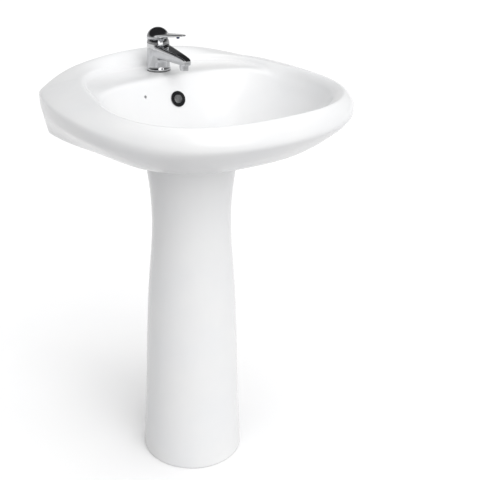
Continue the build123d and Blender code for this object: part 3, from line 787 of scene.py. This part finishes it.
def surface(name, colours, roughness, metallic=0.0, grain=400, tint_scale=14, relief=0.00002,
            stretch=(1, 1, 1)):
    """Material whose colour and roughness drift, with a fine relief of its own."""
    mat, shader = material(name, colours[0], roughness[0], metallic)
    link_to = mat.node_tree.links.new
    drift = noise(mat, tint_scale)
    link_to(ramp(mat, drift, colours[0], colours[1]), shader.inputs["Base Color"])
    fine = noise(mat, grain, 5.0, stretch)
    link_to(ramp(mat, fine, roughness[0], roughness[1], 0.25, 0.75), shader.inputs["Roughness"])
    bump(mat, shader, fine, 0.5, relief)
    return mat


def glazed_ceramic():
    """White vitreous china: a clear glaze with slow ripple over a faintly mottled body."""
    mat, shader = material("vitreous_china", (0.8, 0.8, 0.8), 0.2)
    link_to = mat.node_tree.links.new
    mottle = noise(mat, 9, 3.0)
    link_to(ramp(mat, mottle, (0.79, 0.795, 0.805), (0.82, 0.82, 0.82)),
            shader.inputs["Base Color"])
    film = noise(mat, 38, 4.0)
    link_to(ramp(mat, film, 0.2, 0.27), shader.inputs["Roughness"])
    ripple = bump(mat, shader, noise(mat, 55, 1.5), 0.25, 0.00012)
    bump(mat, shader, noise(mat, 900, 2.0), 0.12, 0.000015, ripple)
    shader.inputs["IOR"].default_value = 1.52
    shader.inputs["Coat Weight"].default_value = 0.12
    shader.inputs["Coat Roughness"].default_value = 0.06
    return mat


def chrome():
    """Bright chrome plate with faint wiping marks and water spots."""
    mat, shader = material("chrome_plate", (0.55, 0.556, 0.565), 0.05, 1.0)
    link_to = mat.node_tree.links.new
    link_to(ramp(mat, noise(mat, 60, 3.0), (0.51, 0.515, 0.53), (0.57, 0.575, 0.58)),
            shader.inputs["Base Color"])
    wipes = noise(mat, 160, 6.0, (1, 1, 0.25), 0.65)
    link_to(ramp(mat, wipes, 0.035, 0.12, 0.4, 0.75), shader.inputs["Roughness"])
    bump(mat, shader, wipes, 0.15, 0.000008)
    return mat


def build_materials():
    """Materials by the slots of the record."""
    return {
        "ceramic": glazed_ceramic(),
        "chrome": chrome(),
        "steel": surface("stainless_steel", ((0.50, 0.50, 0.50), (0.60, 0.60, 0.59)),
                         (0.22, 0.42), metallic=1.0, grain=700, tint_scale=30, relief=0.00001,
                         stretch=(1, 1, 0.06)),
        "pad": surface("cork_rubber_pad", ((0.46, 0.46, 0.45), (0.60, 0.60, 0.58)),
                       (0.7, 0.95), grain=900, tint_scale=300, relief=0.0001),
        "white_plastic": surface("moulded_polypropylene",
                                 ((0.78, 0.78, 0.76), (0.83, 0.83, 0.81)),
                                 (0.28, 0.42), grain=1400),
        "rubber": surface("black_rubber", ((0.018, 0.018, 0.019), (0.035, 0.035, 0.036)),
                          (0.5, 0.75), grain=1800, tint_scale=120, relief=0.00004),
        "cartridge_plastic": surface("acetal", ((0.55, 0.56, 0.58), (0.62, 0.63, 0.65)),
                                     (0.3, 0.45), grain=1200, relief=0.00001),
        "alumina": surface("alumina_ceramic", ((0.82, 0.80, 0.74), (0.88, 0.86, 0.80)),
                           (0.12, 0.22), grain=2500, tint_scale=200, relief=0.000004),
        "brass": surface("brass", ((0.62, 0.43, 0.17), (0.74, 0.55, 0.25)),
                         (0.2, 0.4), metallic=1.0, grain=500, tint_scale=40),
        "copper": surface("copper", ((0.66, 0.30, 0.18), (0.80, 0.42, 0.27)),
                          (0.18, 0.42), metallic=1.0, grain=260, tint_scale=24,
                          stretch=(1, 1, 0.2)),
        "index": surface("index_button", ((0.02, 0.03, 0.10), (0.03, 0.045, 0.14)),
                         (0.15, 0.25), grain=1500, tint_scale=400, relief=0.000005),
    }


def assign(obj, mat):
    obj.data.materials.clear()
    obj.data.materials.append(mat)


def dress_cad_nodes(materials):
    """Gives every CAD node the material of its slot in the record."""
    slots = {row["node"]: row["material_slot"] for row in frame["record"]["subparts"]}
    for name, node in frame["nodes"].items():
        node.data.materials.clear()
        node.data.materials.append(materials[slots[name]])


def place(obj, body, slot, materials, *nodes):
    """Puts a visual piece on its body, in place of the CAD nodes that it shows."""
    assign(obj, materials[slot])
    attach(obj, body)
    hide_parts(*nodes)


# ---- Studio ----
FLOOR_HALF = 14.0
# Sockets of a colour Mix node, whose names aren't unique.
MIX_FACTOR = 0
MIX_A = 6
MIX_B = 7
MIX_RESULT = 2


def make_floor():
    """Plain pale floor.  It throws back only part of its light, as if the studio round it were
    dark, so that the undersides keep some shade."""
    mesh = bpy.data.meshes.new("studio_floor")
    bm = bmesh.new()
    bmesh.ops.create_grid(bm, x_segments=24, y_segments=24, size=FLOOR_HALF)
    bm.to_mesh(mesh)
    bm.free()
    floor = link("studio_floor", mesh)
    mat, shader = material("pale_floor", (0.94, 0.94, 0.94), 0.8)
    tree = mat.node_tree
    tone = ramp(mat, noise(mat, 3, 3.0), (0.93, 0.93, 0.935), (0.95, 0.95, 0.95))
    damped = tree.nodes.new("ShaderNodeMix")
    damped.data_type = "RGBA"
    damped.inputs[MIX_B].default_value = (0.5, 0.5, 0.505, 1)
    path = tree.nodes.new("ShaderNodeLightPath")
    tree.links.new(path.outputs["Is Diffuse Ray"], damped.inputs[MIX_FACTOR])
    tree.links.new(tone, damped.inputs[MIX_A])
    tree.links.new(damped.outputs[MIX_RESULT], shader.inputs["Base Color"])
    assign(floor, mat)


def direction(azimuth, elevation):
    """Unit vector in degrees; azimuth 0 is the front, positive to the right."""
    a, e = radians(azimuth), radians(elevation)
    return Vector((sin(a) * cos(e), -cos(a) * cos(e), sin(e)))


def face_from(obj, back):
    """Turns a light or camera to look along the opposite of back."""
    obj.rotation_mode = "QUATERNION"
    obj.rotation_quaternion = (-back).to_track_quat("-Z", "Y")


def soft_sun(name, azimuth, elevation, strength, spread):
    """Wide, soft light from far away."""
    light = bpy.data.lights.new(name, "SUN")
    light.energy = strength
    light.angle = radians(spread)
    face_from(link(name, light), direction(azimuth, elevation))


def soft_surround(tree, sky):
    """Background that is brightest above and a little in front."""
    brightest = (0.08, -0.3, 0.95)
    side = tree.nodes.new("ShaderNodeVectorMath")
    side.operation = "DOT_PRODUCT"
    side.inputs[1].default_value = brightest
    level = tree.nodes.new("ShaderNodeMapRange")
    level.inputs["From Min"].default_value = -0.3
    level.inputs["From Max"].default_value = 1.0
    level.inputs["To Min"].default_value = 0.08
    level.inputs["To Max"].default_value = 1.3
    background = tree.nodes["Background"]
    background.inputs["Color"].default_value = (1, 1, 1, 1)
    tree.links.new(sky, side.inputs[0])
    tree.links.new(side.outputs["Value"], level.inputs["Value"])
    tree.links.new(level.outputs["Result"], background.inputs["Strength"])
    return background.outputs["Background"]


def mirrored_room(tree, sky):
    """Background that mirror-like surfaces see: dark above, paler near the floor."""
    split = tree.nodes.new("ShaderNodeSeparateXYZ")
    shades = tree.nodes.new("ShaderNodeValToRGB")
    stops = ((0.1, (0.6, 0.6, 0.6, 1)), (0.42, (0.03, 0.03, 0.032, 1)))
    for element, (position, colour) in zip(shades.color_ramp.elements, stops):
        element.position = position
        element.color = colour
    background = tree.nodes.new("ShaderNodeBackground")
    tree.links.new(sky, split.inputs["Vector"])
    tree.links.new(split.outputs["Z"], shades.inputs["Fac"])
    tree.links.new(shades.outputs["Color"], background.inputs["Color"])
    return background.outputs["Background"]


def make_world():
    """Soft surround for light, with a dark room instead in reflections."""
    world = bpy.data.worlds.new("studio")
    bpy.context.scene.world = world
    world.use_nodes = True
    tree = world.node_tree
    sky = tree.nodes.new("ShaderNodeTexCoord").outputs["Generated"]
    path = tree.nodes.new("ShaderNodeLightPath")
    choose = tree.nodes.new("ShaderNodeMixShader")
    tree.links.new(path.outputs["Is Glossy Ray"], choose.inputs["Fac"])
    tree.links.new(soft_surround(tree, sky), choose.inputs[1])
    tree.links.new(mirrored_room(tree, sky), choose.inputs[2])
    tree.links.new(choose.outputs["Shader"], tree.nodes["World Output"].inputs["Surface"])


def make_camera():
    """Camera of the photo, as its outlines were matched."""
    back = direction(-32.52, 27.25)
    target = Vector((0, 0.030, 0.430))
    distance = 1.8
    data = bpy.data.cameras.new("camera")
    data.sensor_width = 36
    data.lens = 64.47
    data.shift_x = 0.0873
    data.shift_y = 0.0808
    data.clip_end = 100
    camera = link("camera", data)
    camera.location = target + back * distance
    face_from(camera, back)
    bpy.context.scene.camera = camera


def main():
    materials = build_materials()
    dress_cad_nodes(materials)
    place(make_basin(), "root", "ceramic", materials, "basin")
    place(make_pedestal(), "root", "ceramic", materials, "pedestal")
    place(make_tap_body(), "root", "chrome", materials, "tap_body")
    place(make_handle(), "lever", "chrome", materials, "lever_handle")
    make_floor()
    make_world()
    soft_sun("overhead", 0, 70, 0.3, 30)
    soft_sun("front", -4, 27, 1.05, 50)
    make_camera()
    bpy.context.scene.view_settings.view_transform = "Standard"


main()
